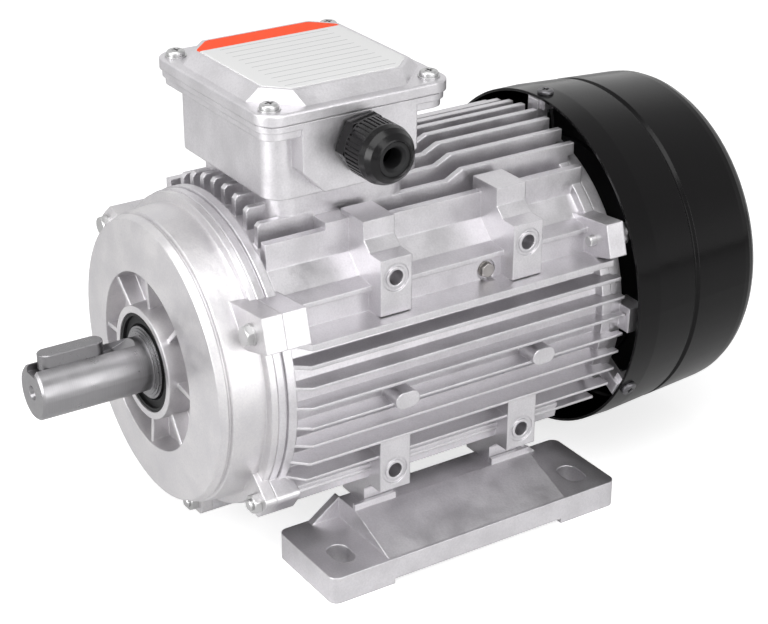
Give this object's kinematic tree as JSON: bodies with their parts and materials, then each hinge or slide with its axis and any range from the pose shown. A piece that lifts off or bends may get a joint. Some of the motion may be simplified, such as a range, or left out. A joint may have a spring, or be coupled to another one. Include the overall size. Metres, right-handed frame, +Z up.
{
  "type": "electric motor",
  "caption": "Foot-mounted three-phase induction motor: finned aluminium frame, keyed shaft, top terminal box with cable gland, and a black fan cover.",
  "frame": {"origin": "centre of the foot bolt pattern in the mounting plane", "axes": "+Z up, -Y out of the drive end along the shaft, +X to the side that holds the cable gland"},
  "size_m": [0.172, 0.3335, 0.2136],
  "materials": {
    "cast_aluminium": "satin, shot-blasted casting",
    "turned_aluminium": "satin, machined casting",
    "turned_steel": "turned and ground",
    "bright_steel": "ground bearing steel",
    "zinc_steel": "zinc plated",
    "black_paint": "gloss black powder coat",
    "black_plastic": "satin moulded",
    "fan_plastic": "satin moulded",
    "rubber": "matt",
    "lamination_steel": "stacked sheet edges",
    "copper": "varnished copper wire",
    "lead_insulation": "satin sleeve",
    "brass": "turned",
    "label": "satin printed film",
    "block_plastic": "moulded"
  },
  "bodies": {
    "stator": {"stator_frame": "cast_aluminium", "drive_end_shield": "turned_aluminium", "rear_end_shield": "cast_aluminium", "right_foot": "cast_aluminium", "left_foot": "cast_aluminium", "foot_bolts": "zinc_steel", "foot_bolt_washers": "zinc_steel", "drive_end_bolts": "zinc_steel", "drive_end_studs": "zinc_steel", "drive_end_nuts": "zinc_steel", "rear_end_bolts": "zinc_steel", "shaft_seal": "rubber", "front_bearing_outer_race": "bright_steel", "front_bearing_shields": "bright_steel", "rear_bearing_outer_race": "bright_steel", "rear_bearing_shields": "bright_steel", "preload_wave_washer": "bright_steel", "stator_core": "lamination_steel", "stator_windings": "copper", "fan_cover": "black_paint", "fan_cover_screws": "zinc_steel", "terminal_box_base": "cast_aluminium", "terminal_box_gasket": "rubber", "terminal_box_lid": "cast_aluminium", "lid_gasket": "rubber", "lid_screws": "zinc_steel", "lid_screw_washers": "zinc_steel", "terminal_box_screws": "zinc_steel", "rating_label": "label", "terminal_block": "block_plastic", "terminal_studs": "brass", "terminal_nuts": "brass", "terminal_links": "brass", "winding_leads": "lead_insulation", "box_earth_screw": "brass", "frame_earth_screw": "brass", "gland_body": "black_plastic", "gland_washer": "rubber", "gland_cap_nut": "black_plastic", "gland_seal": "rubber", "gland_locknut": "black_plastic"},
    "rotor": {"shaft": "turned_steel", "shaft_key": "bright_steel", "shaft_collar": "bright_steel", "front_bearing_inner_race": "bright_steel", "rear_bearing_inner_race": "bright_steel", "rotor_core": "lamination_steel", "rotor_cage": "cast_aluminium", "cooling_fan": "fan_plastic", "fan_circlip": "bright_steel"},
    "front_ball_set": {"front_bearing_balls": "bright_steel", "front_bearing_cage": "bright_steel"},
    "rear_ball_set": {"rear_bearing_balls": "bright_steel", "rear_bearing_cage": "bright_steel"}
  },
  "joints": [
    {"name": "rotor_spin", "type": "hinge", "parent": "stator", "child": "rotor", "pos_m": [0, 0, 0.09], "axis": [0, 1, 0], "continuous": true},
    {"name": "front_balls_orbit", "type": "hinge", "parent": "stator", "child": "front_ball_set", "pos_m": [0, 0, 0.09], "axis": [0, 1, 0], "continuous": true},
    {"name": "rear_balls_orbit", "type": "hinge", "parent": "stator", "child": "rear_ball_set", "pos_m": [0, 0, 0.09], "axis": [0, 1, 0], "continuous": true}
  ],
  "couplings": [
    {"joint": "front_balls_orbit", "follows": "rotor_spin", "ratio": 0.3969},
    {"joint": "rear_balls_orbit", "follows": "rotor_spin", "ratio": 0.3969}
  ]
}
